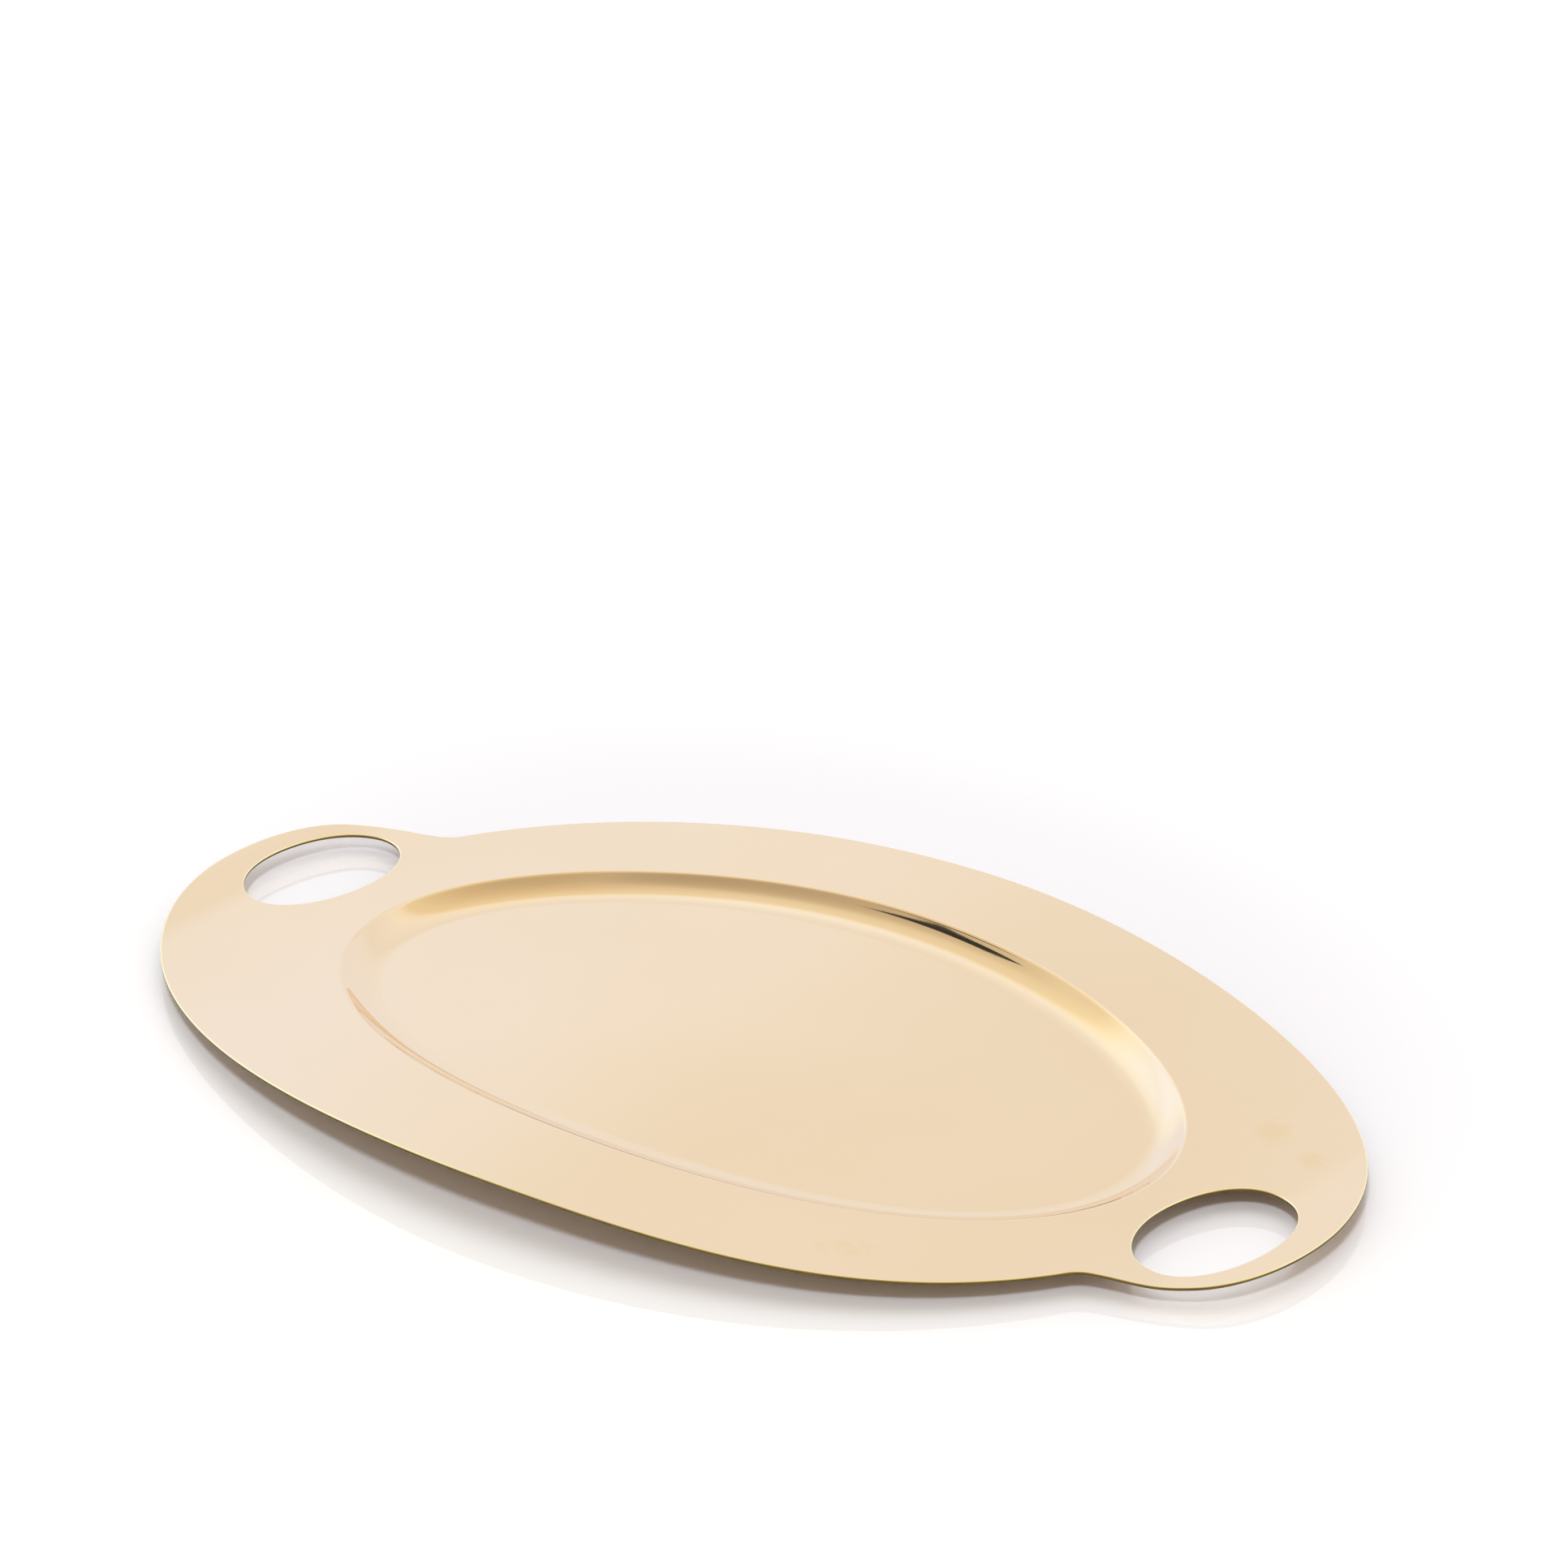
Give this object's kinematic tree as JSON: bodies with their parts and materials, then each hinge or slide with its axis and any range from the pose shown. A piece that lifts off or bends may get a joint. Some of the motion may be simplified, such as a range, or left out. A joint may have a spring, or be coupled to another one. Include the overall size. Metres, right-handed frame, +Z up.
{
  "type": "oval serving tray",
  "caption": "Oval mirror-polished brass serving tray with a shallow pressed well and an integral loop handle at each end.",
  "frame": {"origin": "on the table, under the middle of the tray", "axes": "+X along the tray towards the right handle, +Y across the tray towards the back, +Z up"},
  "size_m": [0.5, 0.285, 0.0189],
  "materials": {
    "polished_brass": "mirror polished, lacquered, pale gold",
    "pad_rubber": "matt silicone rubber"
  },
  "bodies": {
    "root": {"tray_body": "polished_brass", "rest_pad_right_back": "pad_rubber", "rest_pad_right_front": "pad_rubber", "rest_pad_left_back": "pad_rubber", "rest_pad_left_front": "pad_rubber"}
  },
  "joints": []
}
